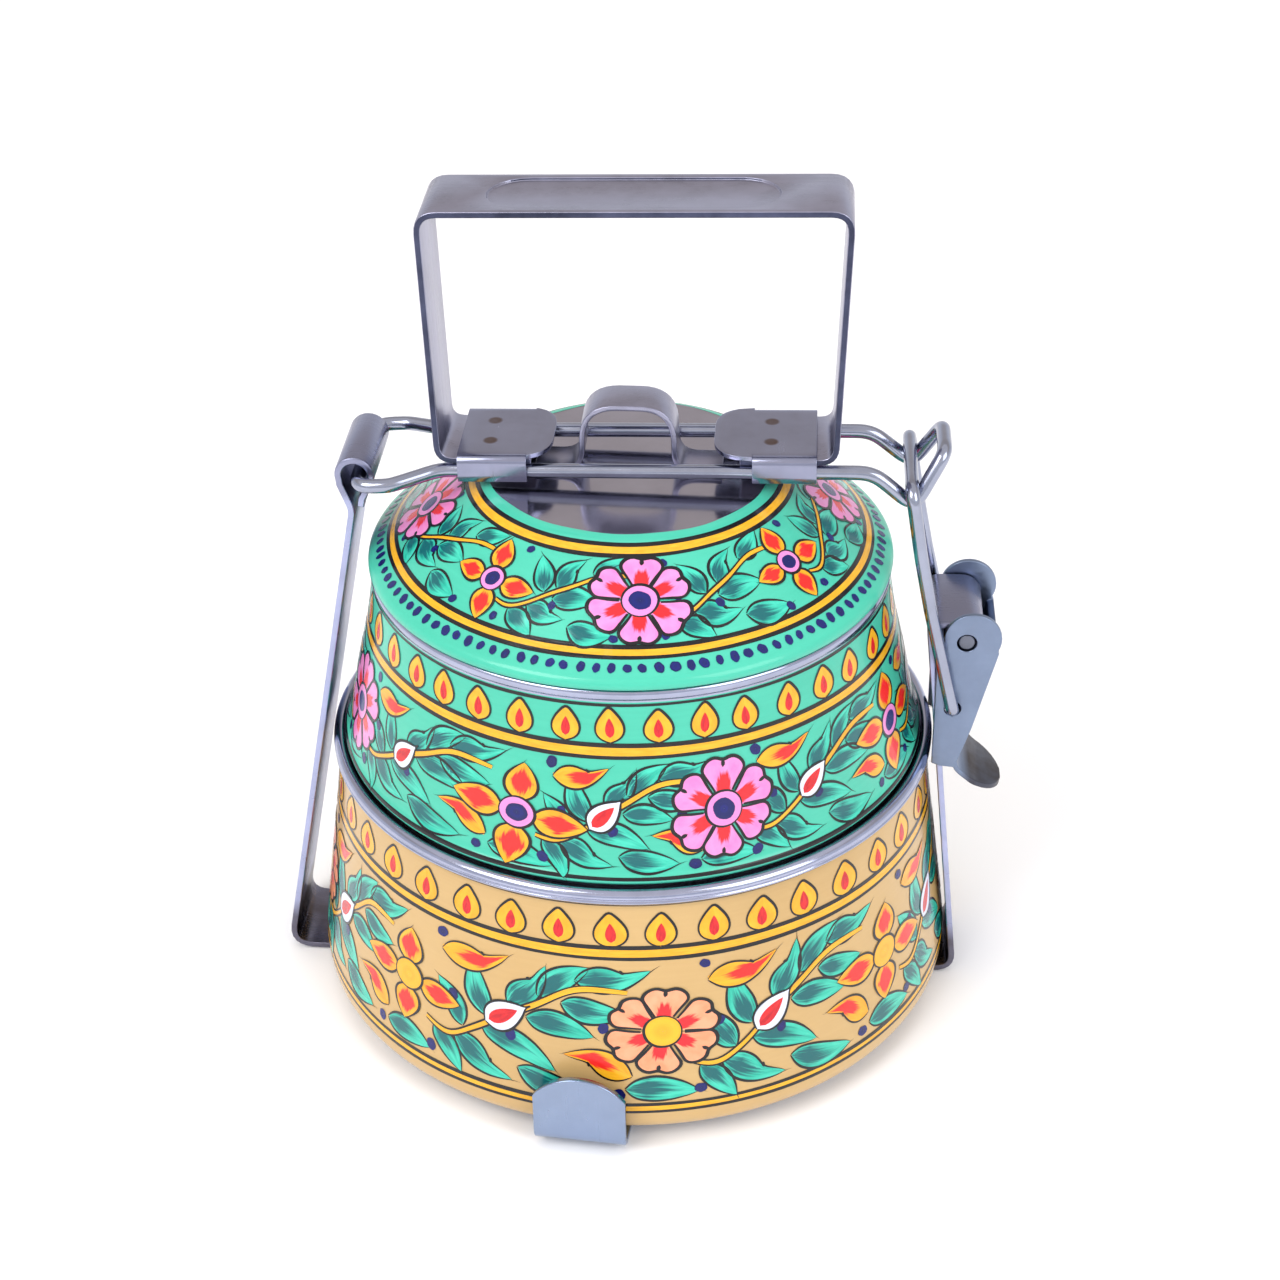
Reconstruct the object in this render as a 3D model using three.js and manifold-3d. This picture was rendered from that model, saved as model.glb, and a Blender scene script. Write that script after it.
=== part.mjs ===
// Two-tier tiffin carrier: a strap carrier, two nested vessels, a lid, a swinging wire-framed
// handle and an over-centre wire latch. Millimetres, +Z up, X along the handle with the hinge
// at -X and the latch at +X, the front at -Y. The origin is on the surface it stands on.
import * as THREE from "three";
import Module from "manifold-3d";

const wasm = await Module();
wasm.setup();
const { Manifold, CrossSection } = wasm;

// ---------------------------------------------------------------- driving sizes
const AROUND = 48; // facets around a vessel
const ROD_SIDES = 10;
const WALL = 0.8; // sheet of the vessels and the lid
const GAP = 0.3; // between pieces that touch

const STRAP_T = 1.5; // carrier strip
const BASE_W = 22; // width of the long strip
const CROSS_W = 20.8; // width of the short strip
const CROSS_TURN = -5; // degrees that the short strip is off square
const CROSS_OUT = 78.6; // its upturned tabs, at mid thickness
const TAB_TOP = 21.5;

const EYE = { x: -59.4, z: 132.9, r: 3.6 }; // rolled hinge eye at mid thickness
const BARREL = { x: 75.2, z: 95.0, r: 3.85 }; // rolled latch barrel at mid thickness

const RING_D = 3.2; // rod of the wire frame
const HINGE = { x: -58.6, z: 132.4 }; // rod inside the eye
const FRAME_TILT = 1.15; // degrees that the closed frame rises towards the latch
const RING_Z = 133.9;
const RING_Y = 9.5;

const GRIP_W = 21; // handle strip
const GRIP_T = 1.4;
const GRIP_TOP = 193.3;
const PLATE_T = 1.0; // saddle plates

const PIN = { x: 75.6, z: 95.5, d: 3.8 }; // latch pivot
const HOOK = { x: 73.5, z: 78 }; // where the link turns in the lever
const LINK_D = 3.0;
const LINK_Y = 14.4;
const EAR_IN = 11.4; // inner face of the lever's ears
const EAR_T = 1.2;

const DISC_R = 31.5; // bare top of the lid
const DISC_Z = 131.5;

// ---------------------------------------------------------------- helpers
const rad = (deg) => (deg * Math.PI) / 180;
const minus = (a, b) => a.map((v, i) => v - b[i]);
const along = (a, b, t) => a.map((v, i) => v + (b[i] - v) * t);
const length = (a) => Math.hypot(...a);

// A polyline with its corners rounded; each point is [...xyz, radius] with radius 0 for none.
function rounded(points, steps = 5, dims = 2) {
  const out = [];
  points.forEach((full, i) => {
    const p = full.slice(0, dims);
    const radius = full[dims] ?? 0;
    if (!radius || i === 0 || i === points.length - 1) {
      out.push(p);
      return;
    }
    const before = points[i - 1].slice(0, dims);
    const after = points[i + 1].slice(0, dims);
    const a = minus(before, p);
    const b = minus(after, p);
    const cos = a.reduce((s, v, k) => s + v * b[k], 0) / (length(a) * length(b));
    const half = Math.acos(Math.max(-1, Math.min(1, cos))) / 2;
    const cut = Math.min(radius / Math.tan(half), 0.49 * length(a), 0.49 * length(b));
    const from = along(p, before, cut / length(a));
    const to = along(p, after, cut / length(b));
    for (let s = 0; s <= steps; s++) {
      const t = s / steps;
      const ab = along(from, p, t);
      const bc = along(p, to, t);
      out.push(along(ab, bc, t));
    }
  });
  return out;
}

function arc(cx, cy, r, from, to, steps) {
  return Array.from({ length: steps + 1 }, (_, i) => {
    const a = rad(from + ((to - from) * i) / steps);
    return [cx + r * Math.cos(a), cy + r * Math.sin(a)];
  });
}

// The outline of a strip of even thickness whose middle runs along a 2-D polyline.
function ribbon(path, thickness) {
  const sides = [[], []];
  path.forEach((p, i) => {
    const a = path[Math.max(0, i - 1)];
    const b = path[Math.min(path.length - 1, i + 1)];
    const d = minus(b, a);
    const n = [-d[1] / length(d), d[0] / length(d)];
    sides[0].push([p[0] + (n[0] * thickness) / 2, p[1] + (n[1] * thickness) / 2]);
    sides[1].push([p[0] - (n[0] * thickness) / 2, p[1] - (n[1] * thickness) / 2]);
  });
  return [...sides[0], ...sides[1].reverse()];
}

const section = (outline) => new CrossSection([outline], "NonZero");

// An outline in the X-Z plane, made y0 to y1 deep.
function deep(outline, y0, y1) {
  return Manifold.extrude(section(outline), y1 - y0).rotate([90, 0, 0]).translate([0, y1, 0]);
}

// An outline in the Y-Z plane, made x0 to x1 long.
function wide(outline, x0, x1) {
  return Manifold.extrude(section(outline), x1 - x0).rotate([90, 0, 90]).translate([x0, 0, 0]);
}

// An outline in the X-Y plane, from z0 to z1.
function tall(outline, z0, z1) {
  return Manifold.extrude(section(outline), z1 - z0).translate([0, 0, z0]);
}

const turned = (profile) => Manifold.revolve(section(profile), AROUND);

function across(diameter, x, z, y0, y1, sides = 24) {
  return Manifold.cylinder(y1 - y0, diameter / 2, diameter / 2, sides)
    .rotate([-90, 0, 0])
    .translate([x, y0, z]);
}

// A round rod along a 3-D polyline; a closed one joins its own start.
function rod(path, diameter, closed) {
  const points = path.map((p) => new THREE.Vector3(...p));
  const count = points.length;
  const at = (i) => points[closed ? (i + count) % count : Math.max(0, Math.min(count - 1, i))];
  const tangents = points.map((_, i) => at(i + 1).clone().sub(at(i - 1)).normalize());
  let normal = new THREE.Vector3(0, 0, 1);
  if (Math.abs(tangents[0].z) > 0.9) normal.set(1, 0, 0);
  const vertices = [];
  tangents.forEach((t, i) => {
    normal = normal.sub(t.clone().multiplyScalar(normal.dot(t))).normalize();
    const side = t.clone().cross(normal);
    for (let k = 0; k < ROD_SIDES; k++) {
      const a = (2 * Math.PI * k) / ROD_SIDES;
      const v = points[i].clone();
      v.addScaledVector(normal, (Math.cos(a) * diameter) / 2);
      v.addScaledVector(side, (Math.sin(a) * diameter) / 2);
      vertices.push(v.x, v.y, v.z);
    }
  });
  const faces = [];
  const rings = closed ? count : count - 1;
  for (let i = 0; i < rings; i++) {
    for (let k = 0; k < ROD_SIDES; k++) {
      const a = i * ROD_SIDES + k;
      const b = i * ROD_SIDES + ((k + 1) % ROD_SIDES);
      const c = ((i + 1) % count) * ROD_SIDES + k;
      const d = ((i + 1) % count) * ROD_SIDES + ((k + 1) % ROD_SIDES);
      faces.push(a, b, d, a, d, c);
    }
  }
  if (!closed) {
    const last = (count - 1) * ROD_SIDES;
    for (let k = 1; k < ROD_SIDES - 1; k++) {
      faces.push(0, k + 1, k);
      faces.push(last, last + k, last + k + 1);
    }
  }
  return new Manifold(
    new wasm.Mesh({
      numProp: 3,
      vertProperties: new Float32Array(vertices),
      triVerts: new Uint32Array(faces),
    }),
  );
}

// The closed frame's own tilt, about the hinge rod.
function tilted(solid) {
  return solid
    .translate([-HINGE.x, 0, -HINGE.z])
    .rotate([0, -FRAME_TILT, 0])
    .translate([HINGE.x, 0, HINGE.z]);
}

const group = new THREE.Group();
function add(name, solid, colour) {
  const made = solid.getMesh();
  const geometry = new THREE.BufferGeometry();
  const xyz = new Float32Array(made.numVert * 3);
  for (let i = 0; i < made.numVert; i++) {
    for (let k = 0; k < 3; k++) xyz[3 * i + k] = made.vertProperties[made.numProp * i + k];
  }
  geometry.setAttribute("position", new THREE.BufferAttribute(xyz, 3));
  geometry.setIndex(new THREE.BufferAttribute(new Uint32Array(made.triVerts), 1));
  const mesh = new THREE.Mesh(geometry, new THREE.MeshStandardMaterial({ color: colour }));
  mesh.name = name;
  group.add(mesh);
}

// ---------------------------------------------------------------- carrier
// The long strip lies under the vessels, leans in up both sides, and is rolled at both ends.
const mid = STRAP_T / 2;
const eyeEnd = [
  [EYE.x + 0.9, EYE.z - 7.7],
  [EYE.x + 1.3, EYE.z - 5.7],
  [EYE.x + 2.7, EYE.z - 3.2],
];
const eyeRoll = arc(EYE.x, EYE.z, EYE.r, -12, 195, 16);
const leftSide = rounded([
  [-62.8, 130.6],
  [-60.5, 124.2, 6],
  [-84.9, mid, 5],
  [0, mid],
], 6);
const rightSide = rounded([
  [0, mid],
  [78.4, mid, 5],
  [77.3, 10.3],
  [71.3, 64, 40],
  [67.3, BARREL.z + BARREL.r, 3.6],
  [BARREL.x - 1, BARREL.z + BARREL.r],
], 6);
const barrelRoll = arc(BARREL.x, BARREL.z, BARREL.r, 90, -165, 20);
const carrierLine = [
  ...eyeEnd,
  ...eyeRoll,
  ...leftSide.slice(0, -1),
  ...rightSide,
  ...barrelRoll,
];
add("base_strap", deep(ribbon(carrierLine, STRAP_T), -BASE_W / 2, BASE_W / 2), 0x8f8c92);

// The short strip crosses on top of it, and its ends stand up as two arched tabs.
const crossZ = STRAP_T + GAP + mid;
const crossLine = rounded([
  [-CROSS_OUT, TAB_TOP + 2],
  [-CROSS_OUT, crossZ, 3.4],
  [CROSS_OUT, crossZ, 3.4],
  [CROSS_OUT, TAB_TOP + 2],
], 6);
const tabArch = [
  [-CROSS_W / 2, 0],
  [CROSS_W / 2, 0],
  ...arc(0, TAB_TOP - 12.3, 12.3, 32, 148, 14),
];
const crossStrap = wide(ribbon(crossLine, STRAP_T), -CROSS_W / 2, CROSS_W / 2)
  .intersect(deep(tabArch, -90, 90))
  .rotate([0, 0, CROSS_TURN]);
add("cross_strap", crossStrap, 0x8f8c92);

// ---------------------------------------------------------------- vessels
const FLOOR = STRAP_T * 2 + GAP * 2;
add("lower_container", turned([
  [0, FLOOR],
  [71.6, FLOOR],
  [74.2, FLOOR + 0.8],
  [75.5, FLOOR + 2.8],
  [75.8, 9.2],
  [75.6, 12],
  [72.8, 31],
  [70.0, 51.2],
  [68.5, 62.4],
  [69.3, 63.1],
  [69.9, 63.8],
  [69.6, 64.4],
  [70.0, 65.0],
  [69.6, 66.0],
  [68.9, 66.5],
  [68.1, 66.5],
  [67.4, 66.0],
  [67.1, 65.2],
  [67.1, 63.4],
  [67.7, 62.4],
  [69.2, 51.2],
  [72.0, 31],
  [74.8, 12],
  [74.9, 9.4],
  [74.5, FLOOR + 3.1],
  [73.5, FLOOR + 1.6],
  [71.5, FLOOR + WALL],
  [0, FLOOR + WALL],
]), 0xe6c389);

const SPIGOT = 60.6;
add("upper_container", turned([
  [0, SPIGOT],
  [63.8, SPIGOT],
  [65.6, SPIGOT + 0.7],
  [66.2, SPIGOT + 2.2],
  [66.4, 66.4],
  [67.0, 66.9],
  [67.25, 67.5],
  [66.9, 68.2],
  [66.2, 69.2],
  [63.0, 83.4],
  [59.8, 97.0],
  [58.1, 107.2],
  [58.5, 108.4],
  [58.6, 109.2],
  [58.2, 109.9],
  [57.5, 109.9],
  [57.2, 109.3],
  [57.3, 107.2],
  [59.0, 96.9],
  [62.2, 83.2],
  [65.4, 69.0],
  [65.6, 67.4],
  [65.6, 66.4],
  [65.4, SPIGOT + 2.4],
  [64.9, SPIGOT + 1.3],
  [63.7, SPIGOT + WALL],
  [0, SPIGOT + WALL],
]), 0x5fddb8);

// The lid's locating skirt tapers in, so the lid can be drawn off sideways as it rises.
add("lid", turned([
  [0, DISC_Z],
  [DISC_R, DISC_Z],
  [33.6, 130.6],
  [36.0, 129.1],
  [40.0, 126.4],
  [44.0, 123.5],
  [48.0, 120.3],
  [52.0, 117.0],
  [54.4, 115.2],
  [56.6, 113.7],
  [58.3, 112.5],
  [58.8, 111.4],
  [58.7, 110.6],
  [58.2, 110.2],
  [56.7, 110.2],
  [55.8, 106.8],
  [55.0, 106.8],
  [55.7, 110.4],
  [56.0, 111.6],
  [56.0, 112.7],
  [53.9, 114.3],
  [51.5, 116.1],
  [47.4, 119.5],
  [43.4, 122.7],
  [39.5, 125.6],
  [35.5, 128.2],
  [33.1, 129.7],
  [31.3, DISC_Z - WALL],
  [0, DISC_Z - WALL],
]), 0x5fddb8);

const tabFoot = DISC_Z + GAP + 0.6;
const lidTabLine = rounded([
  [-20.5, tabFoot],
  [-10.2, tabFoot, 6.4],
  [-9.8, 147.7, 7.9],
  [9.8, 147.7, 7.9],
  [10.2, tabFoot, 6.4],
  [20.5, tabFoot],
], 9);
add("lid_tab", deep(ribbon(lidTabLine, 1.2), -5.2, 5.2), 0x9a969c);

// ---------------------------------------------------------------- handle frame
const ringHalf = rounded([
  [HINGE.x, 0, HINGE.z],
  [HINGE.x, -14.9, HINGE.z, 4.2],
  [-51.0, -14.9, HINGE.z + 0.3, 5],
  [-40.5, -RING_Y, RING_Z, 10],
  [0, -RING_Y - 0.2, RING_Z],
  [53.0, -RING_Y - 0.3, RING_Z, 8],
  [62.0, -10.2, 126.1, 2.6],
  [68.4, -6.6, 137.2, 3.2],
  [68.4, 0, 137.2],
], 6, 3);
const mirrored = ringHalf.slice(1, -1).reverse().map(([x, y, z]) => [x, -y, z]);
add("wire_frame", tilted(rod([...ringHalf, ...mirrored], RING_D, true)), 0x9a969c);

const footZ = RING_Z + RING_D / 2 + GAP + GRIP_T / 2;
const gripMid = GRIP_TOP - GRIP_T / 2;
const gripLine = rounded([
  [-20.5, footZ],
  [-40.8, footZ, 3.6],
  [-41.3, gripMid, 4.2],
  [47.6, gripMid, 4.2],
  [45.0, footZ, 3.6],
  [24.5, footZ],
], 6);
const stadium = (halfX, halfY, cx) => [
  ...arc(cx - halfX + halfY, 0, halfY, 90, 270, 12),
  ...arc(cx + halfX - halfY, 0, halfY, -90, 90, 12),
];
const grip = deep(ribbon(gripLine, GRIP_T), -GRIP_W / 2, GRIP_W / 2)
  .add(tall(stadium(29.6, 7.7, 2.6), GRIP_TOP - GRIP_T - 0.5, GRIP_TOP - GRIP_T + 0.1))
  .subtract(tall(stadium(30.4, 8.4, 2.6), GRIP_TOP - 0.6, GRIP_TOP + 1));
add("handle_strap", tilted(grip), 0x8f8c92);

// A saddle plate covers a foot of the handle, and its edges are folded round both rods.
const plateMid = footZ + GRIP_T / 2 + GAP + PLATE_T / 2;
const foldR = RING_D / 2 + GAP + PLATE_T / 2;
const foldLine = rounded([
  [-RING_Y - foldR + 0.35, RING_Z - 1.5],
  [-RING_Y - foldR, RING_Z - 0.2, 2],
  [-RING_Y - foldR, plateMid, 1.8],
  [RING_Y + foldR, plateMid, 1.8],
  [RING_Y + foldR, RING_Z - 0.2, 2],
  [RING_Y + foldR - 0.35, RING_Z - 1.5],
], 6);
function saddle(outer, shoulder, inner) {
  const [low, high] = [Math.min(outer, shoulder), Math.max(outer, shoulder)];
  const back = outer + (shoulder - outer) * 0.1;
  const nose = rounded([
    [back, -11.7],
    [inner, -11.7, 8.5],
    [inner, 11.7, 8.5],
    [back, 11.7],
  ], 12);
  const outline = inner > shoulder ? nose : nose.reverse();
  return wide(ribbon(foldLine, PLATE_T), low, high).add(
    tall(outline, plateMid - PLATE_T / 2, plateMid + PLATE_T / 2),
  );
}
add("saddle_left", tilted(saddle(-36.4, -21.4, -16.2)), 0x9a969c);
add("saddle_right", tilted(saddle(41.0, 27.2, 18.8)), 0x9a969c);

// ---------------------------------------------------------------- latch
// The lever is a channel: two round-headed ears, an outer web and a thumb tongue.
const earOutline = [
  [82.9, 92.9],
  ...arc(76.9, 96.4, 6.4, -27, 185, 20),
  [69.3, 88],
  [69.6, 76],
  [69.6, 62.9],
  [71.4, 62.2],
  [74.9, 61.8],
  [78.1, 72.6],
];
const webOutline = [
  [82.9, 92.9],
  [81.4, 92.4],
  [76.9, 73.0],
  [73.8, 62.0],
  [74.9, 61.8],
  [78.1, 72.6],
];
const tongueLine = rounded([
  [74.9, 64.0],
  [75.1, 59.6, 6],
  [80.4, 55.0, 12],
  [86.4, 51.6],
], 6);
const tonguePlan = [
  [70, -9.6],
  [79, -9.6],
  ...arc(79.2, 0, 7.6, -78, 78, 16).map(([x, y]) => [x, y * 1.2]),
  [79, 9.6],
  [70, 9.6],
];
const earOut = EAR_IN + EAR_T;
const lever = deep(earOutline, -earOut, -EAR_IN)
  .add(deep(earOutline, EAR_IN, earOut))
  .add(deep(webOutline, -earOut, earOut))
  .add(deep(ribbon(tongueLine, EAR_T), -10, 10).intersect(tall(tonguePlan, 40, 70)))
  .subtract(across(PIN.d + 2 * GAP, PIN.x, PIN.z, -20, 20))
  .subtract(across(LINK_D + 0.8, HOOK.x, HOOK.z, -20, 20));
add("latch_lever", lever, 0xa3a1ab);
add("latch_pin", across(PIN.d, PIN.x, PIN.z, 0.3 - earOut, earOut - 0.3), 0x9a969c);

const linkHalf = rounded([
  [61.4, 0, 134.0],
  [61.4, -LINK_Y, 134.0, 3.4],
  [64.1, -LINK_Y, 118.4, 30],
  [66.9, -LINK_Y, 105.0, 30],
  [HOOK.x, -LINK_Y, HOOK.z, 2.2],
  [HOOK.x, -10.5, HOOK.z],
], 6, 3);
const linkOther = linkHalf.slice(1).map(([x, y, z]) => [x, -y, z]);
add("latch_link", rod([...linkHalf.slice().reverse(), ...linkOther], LINK_D, false), 0x9a969c);

export default group;
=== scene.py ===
"""Looks of a two-tier tiffin carrier: enamelled vessels painted with flowers, bare steel fittings.

Lengths in the profile, path and painting code are millimetres, and MM turns them into the frame's
metres. Places inside materials, the stage and the camera are in metres.
"""

import bisect
import math
import random

import bmesh
import bpy
from mathutils import Matrix, Vector


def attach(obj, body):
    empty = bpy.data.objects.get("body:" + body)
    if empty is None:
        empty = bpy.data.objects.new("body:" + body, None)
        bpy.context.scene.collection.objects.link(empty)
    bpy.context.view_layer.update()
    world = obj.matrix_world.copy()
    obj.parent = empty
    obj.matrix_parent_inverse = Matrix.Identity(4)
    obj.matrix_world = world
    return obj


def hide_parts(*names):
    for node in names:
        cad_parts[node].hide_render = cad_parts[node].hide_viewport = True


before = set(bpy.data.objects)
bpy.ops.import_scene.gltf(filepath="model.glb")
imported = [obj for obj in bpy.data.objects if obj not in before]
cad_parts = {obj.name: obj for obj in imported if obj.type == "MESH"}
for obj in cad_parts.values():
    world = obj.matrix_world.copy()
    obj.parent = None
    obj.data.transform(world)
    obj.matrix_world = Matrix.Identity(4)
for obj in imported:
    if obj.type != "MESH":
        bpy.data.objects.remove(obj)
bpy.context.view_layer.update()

MM = 0.001
TURN = 2 * math.pi
random.seed(11)


def linked(name, data):
    """A new object in the scene."""
    obj = bpy.data.objects.new(name, data)
    bpy.context.scene.collection.objects.link(obj)
    return obj


# ------------------------------------------------------------------ materials
class Graph:
    """A material's node tree, with short ways to add and join nodes."""

    def __init__(self, name):
        self.material = bpy.data.materials.new(name)
        self.material.use_nodes = True
        self.tree = self.material.node_tree
        self.shader = self.tree.nodes["Principled BSDF"]

    def add(self, kind, inputs=(), **settings):
        node = self.tree.nodes.new(kind)
        for key, value in settings.items():
            setattr(node, key, value)
        for key, value in dict(inputs).items():
            self.feed(node.inputs[key], value)
        return node

    def feed(self, socket, value):
        if isinstance(value, bpy.types.NodeSocket):
            self.tree.links.new(value, socket)
        else:
            socket.default_value = value

    def math(self, operation, a, b=0.0):
        return self.add("ShaderNodeMath", {0: a, 1: b}, operation=operation).outputs[0]

    def mix(self, amount, a, b):
        node = self.add("ShaderNodeMix", data_type="RGBA")
        for index, value in ((0, amount), (6, a), (7, b)):
            self.feed(node.inputs[index], value)
        return node.outputs[2]

    def noise(self, vector, scale, detail=2.0, rough=0.5):
        inputs = {"Vector": vector, "Scale": scale, "Detail": detail, "Roughness": rough}
        return self.add("ShaderNodeTexNoise", inputs).outputs["Fac"]

    def scaled(self, vector, by):
        return self.add("ShaderNodeVectorMath", {0: vector, 1: by}, operation="MULTIPLY").outputs[0]

    def span(self, value, low, high, to_low=0.0, to_high=1.0):
        inputs = {0: value, 1: low, 2: high, 3: to_low, 4: to_high}
        return self.add("ShaderNodeMapRange", inputs).outputs[0]

    def place(self):
        return self.add("ShaderNodeTexCoord").outputs["Object"]

    def bump(self, height, strength, distance):
        inputs = {"Height": height, "Strength": strength, "Distance": distance}
        self.feed(self.shader.inputs["Normal"], self.add("ShaderNodeBump", inputs).outputs[0])

    def set(self, **values):
        for key, value in values.items():
            self.feed(self.shader.inputs[key.replace("_", " ")], value)


def rgb(text):
    """Linear colour from an sRGB hex string."""
    parts = [int(text[i : i + 2], 16) / 255 for i in (0, 2, 4)]
    return [p / 12.92 if p < 0.04045 else ((p + 0.055) / 1.055) ** 2.4 for p in parts] + [1.0]


def lacquer(graph, rough):
    """The clear gloss that lies over all of the paint."""
    graph.set(Roughness=rough, Coat_Weight=0.4, Coat_Roughness=0.08, Specular_IOR_Level=0.3)


def enamel(name, colour, deep):
    """Ground colour laid on by brush: soft bands round the vessel and small pits."""
    g = Graph(name)
    where = g.place()
    cloud = g.noise(where, 28.0, 3.0)
    strokes = g.noise(g.scaled(where, (60.0, 60.0, 1400.0)), 1.0, 2.0)
    tone = g.math("ADD", g.math("MULTIPLY", cloud, 0.7), g.math("MULTIPLY", strokes, 0.3))
    g.set(Base_Color=g.mix(g.span(tone, 0.35, 0.68), rgb(deep), rgb(colour)))
    g.bump(g.noise(where, 240.0, 2.0), 0.1, 0.0004)
    lacquer(g, 0.34)
    return g.material


def paint(
    name, base, stroke=None, centre=0.0, reach=0.5, pinch=0.25, feather=0.5, shade=None, soft=0.05
):
    """One paint, uneven between base and shade, with a stroke of a second brushed over it.

    The mesh's "brush" vector gives each dab its own coordinates: x from foot to tip, y across, z a
    number for the dab. The stroke is centred on x = centre and reaches as far to each side; pinch
    narrows it away from y = 0, feather frays its edge and soft blurs it.
    """
    g = Graph(name)
    brush = g.add("ShaderNodeAttribute", attribute_name="brush").outputs["Vector"]
    axes = g.add("ShaderNodeSeparateXYZ", {0: brush}).outputs
    thin = g.noise(g.scaled(brush, (2.2, 1.6, 37.0)), 1.0, 3.0)
    colour = g.mix(g.span(thin, 0.36, 0.68), rgb(shade or base), rgb(base))
    if stroke:
        hairs = g.noise(g.scaled(brush, (0.9, 6.5, 53.0)), 1.0, 3.0, 0.6)
        away = g.math("ABSOLUTE", g.math("SUBTRACT", axes[0], centre))
        side = g.math("MULTIPLY", g.math("POWER", g.math("ABSOLUTE", axes[1]), 1.5), pinch)
        left = g.math("SUBTRACT", g.math("SUBTRACT", reach, away), side)
        ragged = g.math("ADD", left, g.math("MULTIPLY", g.math("SUBTRACT", hairs, 0.5), feather))
        colour = g.mix(g.span(ragged, -soft, soft + 0.02), colour, rgb(stroke))
    g.set(Base_Color=colour)
    g.bump(thin, 0.3, 0.0004)
    lacquer(g, 0.26)
    return g.material


def steel(name, colour, rough, grain=(40.0, 2600.0, 40.0), stain=0.25, depth=0.00002, marks=None):
    """Drawn or rolled steel: fine lines along the strip, cloudy wear and faint stains. marks adds
    darker places: it takes the graph and a point's x, y and z, and gives a colour and an amount."""
    g = Graph(name)
    where = g.place()
    lines = g.noise(g.scaled(where, grain), 1.0, 3.0, 0.6)
    cloud = g.noise(where, 95.0, 4.0, 0.6)
    dark = [c * (1 - stain) for c in rgb(colour)[:3]] + [1.0]
    tone = g.mix(g.span(cloud, 0.3, 0.7), dark, rgb(colour))
    if marks:
        mark, amount = marks(g, *g.add("ShaderNodeSeparateXYZ", {0: where}).outputs)
        tone = g.mix(g.math("MULTIPLY", amount, g.span(cloud, 0.2, 0.6, 0.6, 1.0)), tone, rgb(mark))
    g.set(Base_Color=tone)
    worn = g.math("ADD", g.math("MULTIPLY", lines, 0.6), g.math("MULTIPLY", cloud, 0.4))
    g.set(Roughness=g.span(worn, 0.3, 0.7, rough * 0.75, rough * 1.3), Metallic=1.0)
    g.bump(lines, 0.35, depth)
    return g.material


def nearest(g, value, first, second):
    """Distance from value to the nearer of two places."""
    gaps = [g.math("ABSOLUTE", g.math("SUBTRACT", value, place)) for place in (first, second)]
    return g.math("MINIMUM", *gaps)


def weld_spots(g, x, y, z):
    """Two welds on each saddle plate, one behind the other."""
    across, along = nearest(g, x, -0.0300, 0.0310), nearest(g, y, 0.0050, -0.0045)
    square = g.math("ADD", g.math("MULTIPLY", across, across), g.math("MULTIPLY", along, along))
    rim, core = 0.0018, 0.0012
    return "5B453D", g.span(g.math("SQRT", square), rim, core)


def painted_bend_reflection_and_dark_ends(g, x, y, z):
    """Painted dark reflection in the lower bends, under the vessel's belly, and darker rolled ends
    at the hinge and at the latch.
    """
    sides = g.span(g.math("ABSOLUTE", x), 0.0635, 0.0735)
    # painted dark reflection: the bends low down, under the vessel's belly, are coloured darker
    bends = g.math("MULTIPLY", g.span(z, 0.0155, 0.0095, 0.0, 0.85), sides)
    barrel = g.math("MULTIPLY", g.span(x, 0.060, 0.064), g.span(z, 0.0885, 0.0915))
    knuckle = g.span(z, 0.1265, 0.1285, 0.0, 0.4)
    ends = g.math("MAXIMUM", g.math("MULTIPLY", barrel, 0.5), knuckle)
    return "4A3F3C", g.math("MAXIMUM", bends, ends)


def thumb_dark_reflection(g, x, y, z):
    """A darker thumb tongue: a painted dark reflection on its broad face."""
    # painted dark reflection, coloured onto the lever's thumb tongue
    return "423C3E", g.math("MULTIPLY", g.span(x, 0.0765, 0.079), g.span(z, 0.062, 0.058))


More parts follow.
